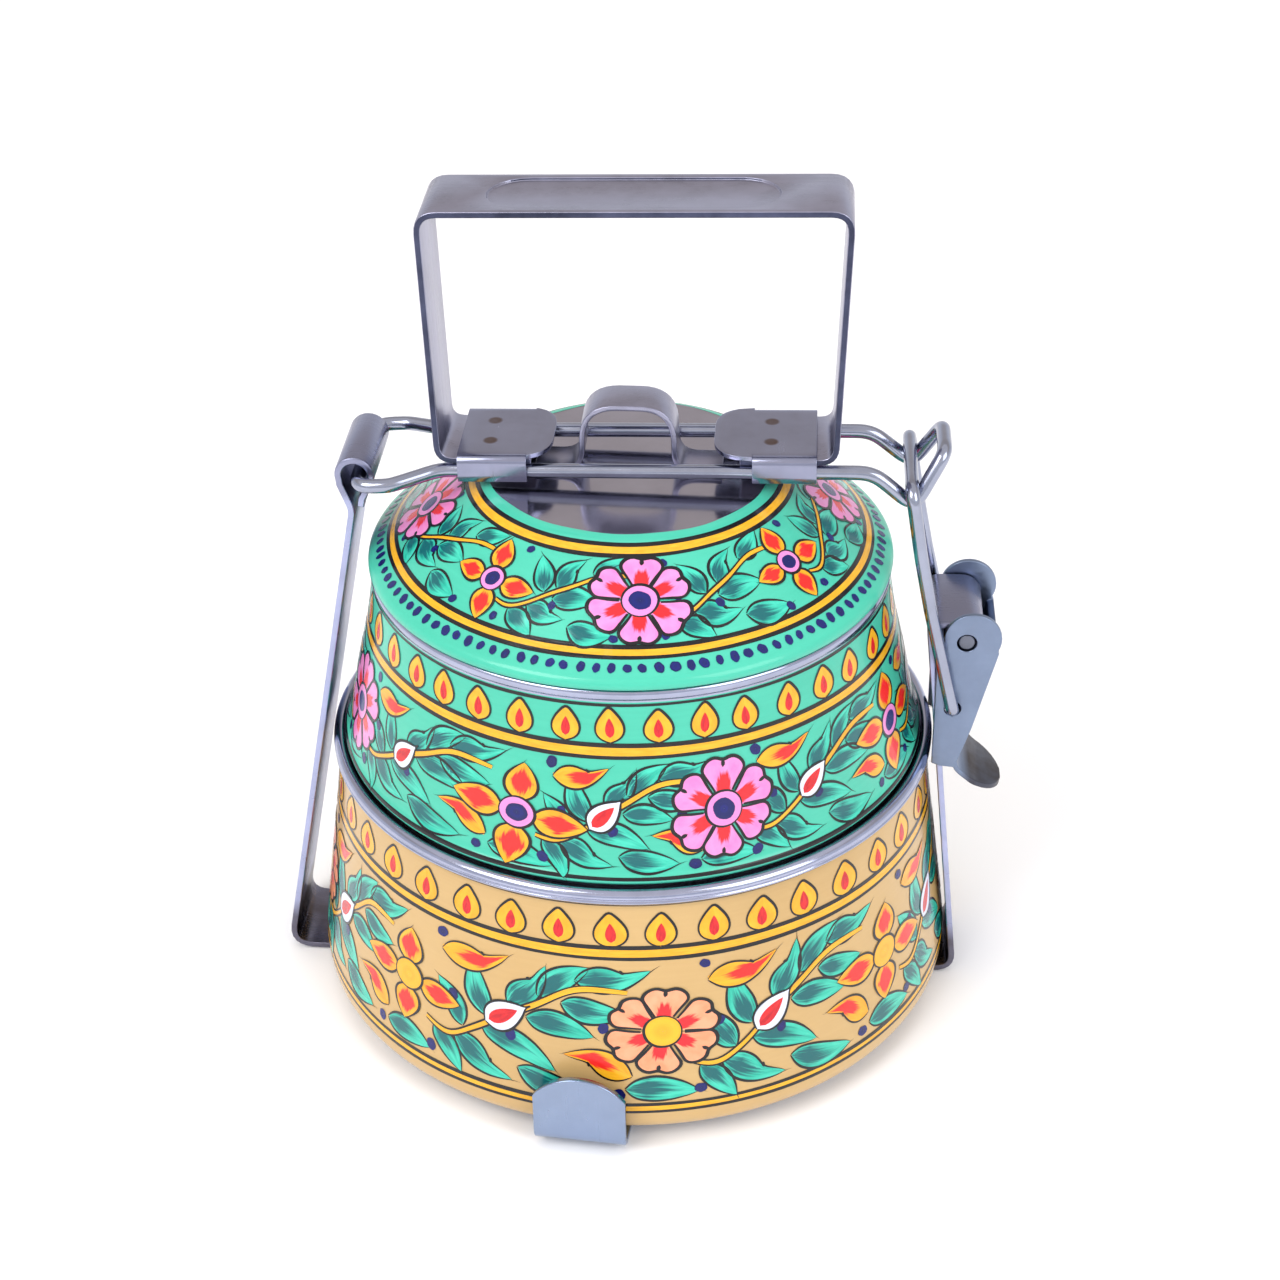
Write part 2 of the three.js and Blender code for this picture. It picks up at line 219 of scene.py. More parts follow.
MAT = {
    "mint": enamel("mint_enamel", "4AC1A6", "41B79C"),
    "cream": enamel("cream_enamel", "C9A770", "C29F68"),
    "yellow": paint("yellow_paint", "F0B426", shade="DFA11B"),
    "navy": paint("navy_paint", "0A1670", shade="0B1250"),
    "black": paint("black_paint", "050509", shade="0B0B12"),
    "red": paint("red_paint", "E62224", shade="B90D1E"),
    "pink": paint("pink_paint", "EF7CC0", "E3202A", reach=0.66, pinch=0.7, shade="E890CB"),
    "rose": paint("rose_paint", "EB84C5", shade="DE8CCB"),
    "peach": paint("peach_paint", "F4936A", "E3202A", reach=0.6, pinch=0.66, shade="F6A67F"),
    "gold_petal": paint(
        "gold_petal_paint", "F0B022", "EA2420", 0.5, reach=0.38, pinch=0.55, feather=0.55,
        shade="E29C17",
    ),
    "gold_leaf": paint(
        "gold_leaf_paint", "F0B022", "E52420", 0.6, reach=0.36, pinch=0.5, shade="E29C17"
    ),
    "white": paint("white_paint", "CFD8EE", shade="E4E8F5"),
    "leaf": paint(
        "leaf_paint", "18AC94", "015F63", 0.28, reach=0.36, pinch=0.5, feather=0.95,
        shade="40CBB0", soft=0.12,
    ),
    "strip": steel("strip_steel", "A9A9BF", 0.3),
    # the carrier strip, with a painted dark reflection in its lower bends
    "carrier": steel("carrier_steel", "B4BADC", 0.3, marks=painted_bend_reflection_and_dark_ends),
    "edge": steel("sheared_steel", "585C76", 0.42, (1500.0, 1500.0, 1500.0), 0.6, 0.00008),
    "saddle": steel("saddle_steel", "979AB2", 0.22, (900.0, 40.0, 40.0), 0.15, marks=weld_spots),
    "wire": steel("wire_steel", "A6ABBE", 0.17, (300.0, 300.0, 300.0), 0.18, 0.00001),
    # the latch lever, with a painted dark reflection on its thumb tongue
    "latch": steel("latch_steel", "8492AC", 0.34, (500.0, 80.0, 900.0), 0.16, marks=thumb_dark_reflection),
    "pin": steel("pin_steel", "7A7E8C", 0.36, (900.0, 900.0, 900.0), 0.4),
    "tab": steel("tab_steel", "93A2BE", 0.24, (900.0, 80.0, 60.0), 0.12),
    "lip": steel("lip_steel", "B2B7D0", 0.14, (60.0, 60.0, 3000.0), 0.2),
    "inside": steel("inside_steel", "B9BAC6", 0.28, (90.0, 90.0, 2200.0), 0.15),
    "disc": steel("disc_steel", "AFADBC", 0.13, (260.0, 1400.0, 260.0), 0.12, 0.000006),
}


# ------------------------------------------------------------------ meshes
def piece(name, verts, faces, body, materials, slots=None, smooth=45.0):
    """A mesh object in metres that rides on a CAD body. slots gives each face's material."""
    mesh = bpy.data.meshes.new(name)
    mesh.from_pydata(verts, [], faces)
    for material in materials:
        mesh.materials.append(material)
    if slots:
        mesh.polygons.foreach_set("material_index", slots)
    mesh.validate()
    mesh.shade_smooth()
    if smooth:
        mesh.set_sharp_from_angle(angle=math.radians(smooth))
    obj = linked(name, mesh)
    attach(obj, body)
    return obj


def spline(points, steps):
    """A smooth centripetal curve through points, and where in it each of the points is."""
    padded = [points[0]] + list(points) + [points[-1]]
    out, marks = [], []
    for i in range(1, len(padded) - 2):
        p = padded[i - 1 : i + 3]
        gaps = [max(math.dist(p[k], p[k + 1]) ** 0.5, 1e-4) for k in range(3)]
        marks.append(len(out))
        for step in range(steps):
            t = step / steps
            value = []
            for a, b, c, d in zip(*p):
                m1 = c - b + gaps[1] * ((b - a) / gaps[0] - (c - a) / (gaps[0] + gaps[1]))
                m2 = c - b + gaps[1] * ((d - c) / gaps[2] - (d - b) / (gaps[1] + gaps[2]))
                value.append(
                    (2 * (b - c) + m1 + m2) * t**3 + (3 * (c - b) - 2 * m1 - m2) * t**2 + m1 * t + b
                )
            out.append(tuple(value))
    marks.append(len(out))
    out.append(tuple(points[-1]))
    return out, marks


def lathe(name, profile, zones, body, materials):
    """Turns a closed (radius, height) profile; zones gives each step of it a material number."""
    segments = 224
    verts, faces, slots, rings = [], [], [], []
    for r, z in profile:
        if r < 1e-6:
            rings.append([len(verts)])
            verts.append(Vector((0, 0, z)) * MM)
            continue
        rings.append(range(len(verts), len(verts) + segments))
        for k in range(segments):
            angle = TURN * k / segments
            verts.append(Vector((r * math.sin(angle), -r * math.cos(angle), z)) * MM)
    for i, (low, high) in enumerate(zip(rings, rings[1:])):
        for k in range(segments):
            n = (k + 1) % segments
            if len(low) == 1:
                face = (low[0], high[n], high[k])
            elif len(high) == 1:
                face = (low[k], low[n], high[0])
            else:
                face = (low[k], low[n], high[n], high[k])
            faces.append(face)
            slots.append(zones[i])
    return piece(name, verts, faces, body, materials, slots, smooth=50.0)


def rounded(points, steps=6):
    """A polyline of (x, y, z, radius) corners with each corner rounded off."""
    out = []
    for i, (*p, radius) in enumerate(points):
        here = Vector(p)
        if not radius or i in (0, len(points) - 1):
            out.append(here)
            continue
        a = Vector(points[i - 1][:3]) - here
        b = Vector(points[i + 1][:3]) - here
        cut = radius / math.tan(a.angle(b) / 2)
        most = 0.49  # of the straight on each side of the corner
        start = here + a * min(cut / a.length, most)
        end = here + b * min(cut / b.length, most)
        for step in range(steps + 1):
            t = step / steps
            out.append(start.lerp(here, t).lerp(here.lerp(end, t), t))
    return out


def resample(path, gap, closed=False):
    """Even steps along a polyline, eased through its corners."""
    points = list(path) + ([path[0]] if closed else [])
    lengths = [0.0]
    for a, b in zip(points, points[1:]):
        lengths.append(lengths[-1] + (b - a).length)
    count = max(3, round(lengths[-1] / gap))
    out = []
    for k in range(count + (0 if closed else 1)):
        s = lengths[-1] * k / count
        i = min(max(bisect.bisect_right(lengths, s) - 1, 0), len(points) - 2)
        span = lengths[i + 1] - lengths[i]
        out.append(points[i].lerp(points[i + 1], (s - lengths[i]) / span if span else 0))
    for _ in range(2):
        last = len(out) - 1
        soft = []
        for k, p in enumerate(out):
            if not closed and k in (0, last):
                soft.append(p)
            else:
                soft.append((out[k - 1] + p * 2 + out[(k + 1) % len(out)]) / 4)
        out = soft
    return out


def wire(name, path, diameter, body, node, closed=False):
    """Round wire along a path, standing for a CAD node."""
    step, sides = 0.7, 20
    points = resample(path, step, closed)
    count = len(points)
    verts, faces = [], []
    up = Vector((0, 0, 1))
    for i, p in enumerate(points):
        ahead = points[(i + 1) % count] if closed or i < count - 1 else p
        behind = points[i - 1] if closed or i else p
        way = (ahead - behind).normalized()
        up = up - way * up.dot(way)
        if up.length < 0.1:
            up = way.orthogonal()
        up.normalize()
        side = way.cross(up)
        for k in range(sides):
            a = TURN * k / sides
            verts.append((p + (up * math.cos(a) + side * math.sin(a)) * diameter / 2) * MM)
    for i in range(count if closed else count - 1):
        j = (i + 1) % count
        for k in range(sides):
            n = (k + 1) % sides
            faces.append((i * sides + k, i * sides + n, j * sides + n, j * sides + k))
    if not closed:
        faces.append(tuple(range(sides - 1, -1, -1)))
        faces.append(tuple((count - 1) * sides + k for k in range(sides)))
    obj = piece(name, verts, faces, body, [MAT["wire"]])
    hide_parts(node)


def applied(name, bm, modifiers, material, sharp):
    """The object that a bmesh, freed here, makes once its modifiers are applied."""
    mesh = bpy.data.meshes.new(name)
    bm.to_mesh(mesh)
    bm.free()
    work = linked(name + "_work", mesh)
    for kind, settings in modifiers:
        modifier = work.modifiers.new(kind.lower(), kind)
        for key, value in settings.items():
            setattr(modifier, key, value)
    bpy.context.view_layer.update()
    evaluated = work.evaluated_get(bpy.context.evaluated_depsgraph_get())
    done = bpy.data.meshes.new_from_object(evaluated)
    bpy.data.objects.remove(work)
    done.materials.clear()
    done.materials.append(material)
    done.shade_smooth()
    done.set_sharp_from_angle(angle=math.radians(sharp))
    return linked(name, done)


def eased(name, node, body, material, width):
    """A CAD node's own shape with its sharp edges eased."""
    bm = bmesh.new()
    bm.from_mesh(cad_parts[node].data)
    bmesh.ops.remove_doubles(bm, verts=bm.verts, dist=2e-6)
    bmesh.ops.dissolve_limit(bm, angle_limit=math.radians(1.5), verts=bm.verts, edges=bm.edges)
    bevel = {
        "width": width * MM, "segments": 3, "limit_method": "ANGLE",
        "angle_limit": math.radians(50), "use_clamp_overlap": False,
    }
    obj = applied(name, bm, [("BEVEL", bevel)], material, 32)
    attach(obj, body)
    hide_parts(node)
    return obj


# ------------------------------------------------------------------ vessels
# (radius, height) profiles, from the axis round the outside to the axis again.
LOWER = [
    (0, 3.6), (68.0, 3.6), (71.6, 3.6), (74.2, 4.4), (75.5, 6.4), (75.8, 9.2), (75.6, 12.0),
    (72.8, 31.0), (70.0, 51.2), (68.7, 61.4), (68.5, 62.4), (69.3, 63.1), (69.9, 63.8),
    (69.6, 64.4), (70.0, 65.0), (69.6, 66.0), (68.9, 66.5), (68.1, 66.5), (67.4, 66.0),
    (67.1, 65.2), (67.1, 63.4), (67.7, 62.4), (69.2, 51.2), (72.0, 31.0), (74.8, 12.0),
    (74.9, 9.4), (74.5, 6.7), (73.5, 5.2), (71.5, 4.4), (68.0, 4.4), (0, 4.4),
]
UPPER = [
    (0, 60.6), (61.0, 60.6), (63.8, 60.6), (65.6, 61.3), (66.2, 62.8), (66.4, 66.0), (66.5, 66.5),
    (67.0, 66.9), (67.25, 67.5), (66.9, 68.2), (66.2, 69.2), (63.0, 83.4), (59.8, 97.0),
    (58.4, 105.4), (58.1, 107.2), (58.5, 108.4), (58.6, 109.2), (58.2, 109.9), (57.5, 109.9),
    (57.2, 109.3), (57.3, 107.2), (59.0, 96.9), (62.2, 83.2), (65.4, 69.0), (65.6, 67.4),
    (65.6, 66.4), (65.4, 63.0), (64.9, 61.9), (63.7, 61.4), (60.0, 61.4), (0, 61.4),
]
LID = [
    (0, 130.7), (30.0, 130.7), (31.3, 130.7), (33.1, 129.7), (35.5, 128.2), (39.5, 125.6),
    (43.4, 122.7), (47.4, 119.5), (51.5, 116.1), (53.9, 114.3), (56.0, 112.7), (56.0, 111.6),
    (55.7, 110.4), (55.0, 106.9), (55.3, 106.8), (55.8, 106.9), (56.6, 110.0), (56.8, 110.2),
    (58.2, 110.2), (58.7, 110.6), (58.8, 111.4), (58.3, 112.5), (56.6, 113.7), (54.4, 115.2),
    (52.0, 117.0), (48.0, 120.3), (44.0, 123.5), (40.0, 126.4), (36.0, 129.1), (33.6, 130.6),
    (31.5, 131.45), (30.0, 131.5), (0, 131.5),
]
PROFILE_STEPS = 5  # between two points of a profile


class Skin:
    """An enamelled surface, addressed by angle round it and distance up its profile."""

    def __init__(self, dense, body, slot):
        self.points, self.body, self.slot = dense, body, slot
        self.along = [0.0]
        for a, b in zip(dense, dense[1:]):
            self.along.append(self.along[-1] + math.dist(a, b))
        self.length = self.along[-1]

    def at(self, s):
        """Radius and height at a distance up the profile."""
        s = min(max(s, 0.0), self.length)
        i = min(max(bisect.bisect_right(self.along, s) - 1, 0), len(self.points) - 2)
        t = (s - self.along[i]) / max(self.along[i + 1] - self.along[i], 1e-9)
        (r0, z0), (r1, z1) = self.points[i], self.points[i + 1]
        return r0 + (r1 - r0) * t, z0 + (z1 - z0) * t

    def part_way(self, i, part, whole):
        """The distance up the profile, part of the way along its step i."""
        return self.along[i] + (self.along[i + 1] - self.along[i]) * part / max(whole, 1e-9)

    def height(self, z):
        """The distance up the profile at height z."""
        for i, (a, b) in enumerate(zip(self.points, self.points[1:])):
            if a[1] <= z <= b[1]:
                return self.part_way(i, z - a[1], b[1] - a[1])
        return self.length if z > self.points[-1][1] else 0.0

    def ring(self, radius):
        """The distance up the profile where it closes in to a radius."""
        for i, (a, b) in enumerate(zip(self.points, self.points[1:])):
            if b[0] <= radius <= a[0]:
                return self.part_way(i, a[0] - radius, a[0] - b[0])
        return self.length

    def point(self, phi, s, lift):
        """A point lifted off the surface, and the surface's normal there."""
        s = min(max(s, 0.0), self.length)
        r, z = self.at(s)
        reach = 0.7
        (ra, za), (rb, zb) = self.at(s - reach), self.at(s + reach)
        span = math.hypot(rb - ra, zb - za)
        nr, nz = (zb - za) / span, (ra - rb) / span
        r, z = r + nr * lift, z + nz * lift
        around = (math.sin(phi), -math.cos(phi))
        return (
            Vector((r * around[0], r * around[1], z)),
            Vector((nr * around[0], nr * around[1], nz)),
        )


def vessel(name, node, profile, body, slot, painted, lip, materials):
    """Turns one enamelled piece. painted and lip are (first, last) profile points of the enamel
    and of the bright lip; the rest is bare steel. Returns the enamel's skin."""
    dense, marks = spline(profile, PROFILE_STEPS)
    zones = [2] * (len(dense) - 1)
    for zone, (first, last) in enumerate((painted, lip)):
        for i in range(marks[first], marks[last]):
            zones[i] = zone
    obj = lathe(name, dense, zones, body, [MAT[m] for m in materials])
    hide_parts(node)
    return Skin(dense[marks[painted[0]] : marks[painted[1] + 1] + 1], body, slot)


lower_skin = vessel(
    "lower_vessel", "lower_container", LOWER, "carrier", "cream_enamel",
    painted=(2, 10), lip=(10, 20), materials=("cream", "lip", "inside"),
)
upper_skin = vessel(
    "upper_vessel_shell", "upper_container", UPPER, "upper_vessel", "mint_enamel",
    painted=(7, 14), lip=(14, 20), materials=("mint", "lip", "inside"),
)
lid_skin = vessel(
    "lid_shell", "lid", LID, "lid_assembly", "mint_enamel",
    painted=(17, 30), lip=(30, 32), materials=("mint", "disc", "inside"),
)


# ------------------------------------------------------------------ painting
# How far each kind of paint stands off the enamel. Where two overlap, the later one is higher.
LIFT = {
    "hoop": 0.05, "hoop line": 0.07,
    "drop": 0.06, "flame": 0.09, "drop line": 0.11,
    "leaf": 0.06, "stem": 0.105, "stem line": 0.12, "dot": 0.12, "gold leaf": 0.13,
    "bud": 0.15, "heart": 0.16, "bud line": 0.17,
    "petal": 0.16, "petal line": 0.18, "notch": 0.19,
    "eye": 0.2, "eye line": 0.21, "pupil": 0.22,
}


class Film:
    """Dabs of paint on one skin, gathered into one mesh."""

    def __init__(self, name, skin, paints):
        self.name, self.skin, self.paints = name, skin, paints
        self.verts, self.normals, self.brush, self.faces, self.slots = [], [], [], [], []

    def patch(self, rows, place, lift, paint_name, closed=False):
        """Adds rows of (x, y, along, across), joined row to row. place turns x and y into an angle
        and a distance on the skin; along and across go to the paint's brush."""
        base, seed = len(self.verts), random.random()
        for row in rows:
            for x, y, along, across in row:
                spot, normal = self.skin.point(*place(x, y), lift)
                self.verts.append(spot * MM)
                self.normals.append(normal)
                self.brush.append((along, across, seed))
        wide, tall = len(rows[0]), len(rows)
        for i in range(tall if closed else tall - 1):
            for k in range(wide - 1):
                a, b = base + i * wide + k, base + ((i + 1) % tall) * wide + k
                face = (a, a + 1, b + 1, b)
                near, side, far, corner = (self.verts[v] for v in (a, a + 1, b, b + 1))
                flat = (side - near).cross(far - near) + (corner - far).cross(corner - side)
                self.faces.append(face if flat.dot(self.normals[a]) > 0 else face[::-1])
                self.slots.append(self.paints.index(paint_name))

    def stroke(self, points, width, place, lift, paint_name, closed=False, columns=2):
        """Adds a brush stroke along points; width is a function of 0 to 1 along it."""
        rows, count = [], len(points)
        for i, (x, y) in enumerate(points):
            a = points[(i - 1) % count if closed else max(i - 1, 0)]
            b = points[(i + 1) % count if closed else min(i + 1, count - 1)]
            size = math.dist(a, b) or 1.0
            nx, ny = -(b[1] - a[1]) / size, (b[0] - a[0]) / size
            t = i / (count if closed else count - 1)
            half = width(t) / 2
            row = []
            for k in range(columns):
                across = 2 * k / (columns - 1) - 1
                row.append((x + nx * half * across, y + ny * half * across, t, across))
            rows.append(row)
        self.patch(rows, place, lift, paint_name, closed)

    def finish(self):
        """Makes the piece, shaded with the skin's own normals."""
        materials = [MAT[p] for p in self.paints]
        body = self.skin.body
        obj = piece(self.name, self.verts, self.faces, body, materials, self.slots, smooth=None)
        brush = obj.data.attributes.new("brush", "FLOAT_VECTOR", "POINT")
        brush.data.foreach_set("vector", [c for b in self.brush for c in b])
        obj.data.normals_split_custom_set_from_vertices(self.normals)


def vary(amount):
    """A random number up to amount either way."""
    return random.uniform(-amount, amount)


def spot(skin, phi, s, turn=0.0, size=1.0, flip=1, wide=1.0):
    """A place for a motif: its (x, y) are turned and sized about a point of the skin, and then
    widened round the skin."""
    c, k = math.cos(turn) * size, math.sin(turn) * size

    def place(x, y):
        y *= flip
        up = s + k * x + c * y
        return phi + wide * (c * x - k * y) / skin.at(up)[0], up

    return place


def hair(thick, start=0.25, end=0.1):
    """Width of a line that swells along its first half and thins to its tail."""

    def width(t):
        swell = math.sin(math.pi * min(1, t**0.7)) ** 0.8
        return thick * (start + (1 - start) * swell) * (1 - (1 - end) * t**6)

    return width


def even(points, gap):
    """(x, y) points at even steps of about gap along a smooth curve through points."""
    dense = [Vector((*p, 0)) for p in spline(points, 8)[0]]
    return [(p.x, p.y) for p in resample(dense, gap)]


ACROSS = (-1, -0.5, 0, 0.5, 1)  # a dab's columns, from one edge to the other


def blade(t):
    """Half width of a leaf: full just past its foot, and pointed."""
    return 0.5 * math.sin(math.pi * t**0.74) ** 0.78


def nicked(t):
    """Half width of a blade's side that is cut in past its middle."""
    lobe = 0.56 * math.sin(math.pi * min(1, t / 0.66)) ** 0.7
    tail = 0.2 * math.sin(math.pi * min(1, 0.2 + 0.8 * t)) ** 0.8
    return max(lobe, tail)


def leaf(
    fills, lines, place, length, width, paint_name, bend, nick, lift, thick, reverse=False
):
    """A brushed leaf with two loose outlines that cross at its tip. bend is how far it bows, as a
    share of its length, thick the outlines' width, and reverse brushes it from tip to foot."""
    under, steps = (nicked if nick else blade), 11
    rows, top, bottom = [], [], []
    for i in range(steps + 1):
        t = i / steps
        middle = bend * length * math.sin(math.pi * t)
        row = []
        for a in ACROSS:
            half = width * (blade(t) if a > 0 else under(t))
            row.append((length * t, middle + half * a, 1 - t if reverse else t, a))
        rows.append(row)
        top.append((row[-1][0], row[-1][1] + 0.12 + vary(0.06)))
        bottom.append((row[0][0], row[0][1] - 0.12 + vary(0.06)))
    fills.patch(rows, place, lift, paint_name)
    tail = random.uniform(0.06, 0.16) * length
    top = [(-0.25, 0.1)] + top[1:] + [(length + tail, -0.35 * tail)]
    bottom = [(-0.2, -0.1)] + bottom[1:] + [(length + 0.3 * tail, 0.1 * tail)]
    lines.stroke(even(top, 0.8), hair(thick), place, lift + 0.015, "black")
    lines.stroke(even(bottom, 0.8), hair(thick * 0.85), place, lift + 0.02, "black")
    if nick:
        at = 0.62
        x, y = length * at, bend * length * math.sin(math.pi * at) - width * 0.2
        cut = even([(x - 0.2, y - width * 0.14), (x + 0.1, y), (x + 0.5, y + 0.3)], 0.4)
        lines.stroke(cut, hair(thick * 1.2), place, lift + 0.025, "black")


def blob(fills, place, radius, paint_name, lift=LIFT["dot"], wobble=0.1, tall=1.0):
    """A dab that is nearly round."""
    phase, count = random.random() * TURN, 18
    rows = []
    for k in range(count):
        a = TURN * k / count
        slow, quick = math.sin(2 * a + phase), math.sin(5 * a + 2 * phase)
        r = radius * (1 + wobble * slow + 0.4 * wobble * quick)
        x, y = math.cos(a), math.sin(a)
        rows.append([(r * f * x, r * f * y * tall, f, 0.0) for f in (0.02, 0.55, 1.0)])
    fills.patch(rows, place, lift, paint_name, closed=True)


def loop(lines, place, radius):
    """A ring drawn freehand."""
    phase, count, thick = random.random() * TURN, 30, 0.62
    points = []
    for k in range(count):
        a = TURN * k / count
        loose = radius * (1 + 0.03 * math.sin(2 * a + phase))
        points.append((loose * math.cos(a), radius * math.sin(a)))

    def width(t):
        return thick * (0.75 + 0.3 * math.sin(TURN * t + phase))

    lines.stroke(points, width, place, LIFT["eye line"], "black", closed=True)


def eye(fills, lines, place, radius, outer, inner):
    """A flower's middle."""
    blob(fills, place, radius, outer, LIFT["eye"], 0.02)
    loop(lines, place, radius)
    if inner:
        blob(fills, place, radius * 0.6, inner, LIFT["pupil"], 0.06)


def rosette(fills, lines, skin, phi, s, radius, wide, paint_name, middle, turn):
    """Six broad petals, each notched at its edge."""
    petals, half, foot = 6, math.radians(29.0), radius * 0.26

    def reach(a):
        """The petal's length, from -1 to 1 across it."""
        return radius * (1 - 0.17 * abs(a) ** 3.4 - 0.1 * math.exp(-((a / 0.17) ** 2)))

    for k in range(petals):
        place = spot(skin, phi, s, turn + TURN * k / petals + vary(0.03), 1 + vary(0.04), wide=wide)
        rows = []
        for t in (0.0, 0.2, 0.4, 0.6, 0.8, 1.0):
            row = []
            for i in range(17):
                a = i / 8 - 1
                r = foot + (reach(a) - foot) * t
                angle = a * half * (0.84 + 0.16 * t)
                row.append((r * math.cos(angle), r * math.sin(angle), t, a))
            rows.append(row)
        fills.patch(rows, place, LIFT["petal"], paint_name)
        side = [r[0][:2] for r in rows[1:5]]
        other = [r[-1][:2] for r in reversed(rows[1:5])]
        rim = side + [(p[0] * 1.012, p[1] * 1.012) for p in rows[-1]] + other
        lines.stroke(even(rim, 0.7), wavering(0.44, 0.32), place, LIFT["petal line"], "black")
        tip = reach(0)
        notch = [(tip * 1.01, 0.1), (tip * 0.96, 0.0), (tip * 0.88, 0.14)]
        lines.stroke(even(notch, 0.4), hair(0.85, 0.8), place, LIFT["notch"], "black")
    eye(fills, lines, spot(skin, phi, s, wide=1 + (wide - 1) / 2), radius * 0.36, *middle)


def wavering(thick, more):
    """Width of a line pressed harder in its middle, and a little unevenly."""
    return lambda t: thick + more * math.sin(math.pi * t) + 0.12 * thick * math.sin(19 * t)


def star(fills, lines, skin, phi, s, radius, wide, middle, turn):
    """Four pointed petals."""
    for k in range(4):
        place = spot(skin, phi, s, turn + TURN * k / 4 + vary(0.12), wide=wide)
        start = radius * 0.24
        size = (radius - start) * (1 + vary(0.06))

        def out(x, y, place=place, start=start):
            return place(x + start, y)

        bend, reverse = vary(0.04), k % 2 == 0
        leaf(
            fills, lines, out, size, size * 0.7, "gold_petal", bend, False, LIFT["petal"], 0.62,
            reverse,
        )
    eye(fills, lines, spot(skin, phi, s, wide=1 + (wide - 1) / 2), radius * 0.3, *middle)


def bud(fills, lines, place, size):
    """A closed bud: a pale drop with a red heart."""
    rows = []
    for i in range(11):
        t = i / 10
        half = 0.33 * size * math.sin(math.pi * t**0.72) ** 0.8
        rows.append([(size * (t - 0.5), half * a, t, a) for a in ACROSS])
    fills.patch(rows, place, LIFT["bud"], "white")
    heart = [[(0.72 * x - 0.05 * size, 0.46 * y, t, a) for x, y, t, a in row] for row in rows]
    fills.patch(heart, place, LIFT["heart"], "red")
    upper = [(p[-1][0], p[-1][1] + 0.1) for p in rows]
    lower = [(p[0][0], p[0][1] - 0.1) for p in rows]
    for edge, lift in ((upper, LIFT["bud line"]), (lower, LIFT["bud line"] + 0.005)):
        whole = even([*edge, (size * 0.62, edge[-1][1])], 0.6)
        lines.stroke(whole, wavering(0.3, 0.34), place, lift, "black")


def drop(fills, lines, place, width, height):
    """A hanging-lamp drop: yellow, pointed above, with a red flame in it."""

    def form(t, size):
        return size * math.sin(math.pi * min(1, t) ** 0.72) ** 0.78

    layers = (
        ("yellow", LIFT["drop"], width, height, 0.0),
        ("red", LIFT["flame"], width * 0.32, height * 0.56, height * 0.14),
    )
    for paint_name, lift, w, h, low in layers:
        rows = []
        for i in range(10):
            t = i / 9
            rows.append([(form(t, w / 2) * a, low + h * t, t, a) for a in ACROSS])
        fills.patch(rows, place, lift, paint_name)
    edge = [(form(i / 9, width / 2) + 0.08, height * i / 9 - 0.05) for i in range(10)]
    whole = edge[:-1] + [(vary(0.15), height + 0.25)] + [(-x, y) for x, y in reversed(edge[:-1])]

    def pressed(t):
        return 0.36 + 0.46 * math.sin(math.pi * t) ** 2 * (1 - t)

    lines.stroke(even(whole, 0.7), pressed, place, LIFT["drop line"], "black")


def hoop(film, s, width, paint_name, lift, wander=0.05):
    """A line or band right round the skin."""
    phase, count = random.random() * TURN, 180
    rows = []
    for k in range(count):
        phi = TURN * k / count
        drift = wander * (math.sin(3 * phi + phase) + 0.6 * math.sin(11 * phi + 2 * phase))
        swell = 1 + 0.16 * math.sin(5 * phi + 3 * phase) if width < 1 else 1
        half = width * swell / 2
        columns = max(2, round(width / 0.9) + 1)
        low, step = s + drift - half, 2 * half
        rows.append([(phi, low + step * c / (columns - 1), 6 * phi, c) for c in range(columns)])
    film.patch(rows, lambda x, y: (x, y), lift, paint_name, closed=True)


def trim(film, s, gold, line):
    """A gold band between two black lines."""
    hoop(film, s, gold, "yellow", LIFT["hoop"], 0.04)
    hoop(film, s - gold / 2 - line * 0.35, line, "black", LIFT["hoop line"])
    hoop(film, s + gold / 2 + line * 0.35, line * 1.15, "black", LIFT["hoop line"])


# What lies between one flower and the next. Places are shares of the way along and, from the band's
# middle, of its height. A leaf has its foot, where it points to, and whether it is nicked.
SPRAY = [
    (0.27, -0.17, 0.14, 0.12, False),
    (0.35, -0.04, 0.28, 0.34, False),
    (0.43, 0.10, 0.56, 0.43, True),
    (0.55, 0.20, 0.73, 0.45, False),
    (0.68, 0.34, 0.94, 0.43, True),
    (0.51, 0.04, 0.77, -0.03, False),
    (0.64, 0.18, 0.87, 0.11, False),
    (0.14, -0.26, 0.24, -0.47, False),
    (0.23, -0.23, 0.46, -0.43, True),
    (0.35, -0.13, 0.62, -0.30, False),
    (0.49, -0.35, 0.77, -0.45, False),
    (0.88, -0.41, 1.15, -0.46, False),
]
LID_SPRAY = [
    (0.38, 0.01, 0.30, 0.38, False),
    (0.47, 0.10, 0.60, 0.43, True),
    (0.68, 0.31, 0.86, 0.46, False),
    (0.46, -0.05, 0.74, -0.04, False),
    (0.31, -0.20, 0.58, -0.28, True),
    (0.20, -0.29, 0.36, -0.47, False),
    (0.58, -0.34, 0.86, -0.42, False),
]
GOLD = [(0.17, 0.33, 0.42, 0.42), (0.88, -0.32, 0.66, -0.19)]
STEM = [
    (0.10, -0.22), (0.20, -0.26), (0.31, -0.16), (0.42, 0.0), (0.54, 0.13), (0.68, 0.28),
    (0.86, 0.28),
]
DOTS = [(0.16, 0.44), (0.22, 0.03), (0.13, -0.42), (0.80, 0.02), (0.84, -0.44), (0.46, -0.13)]


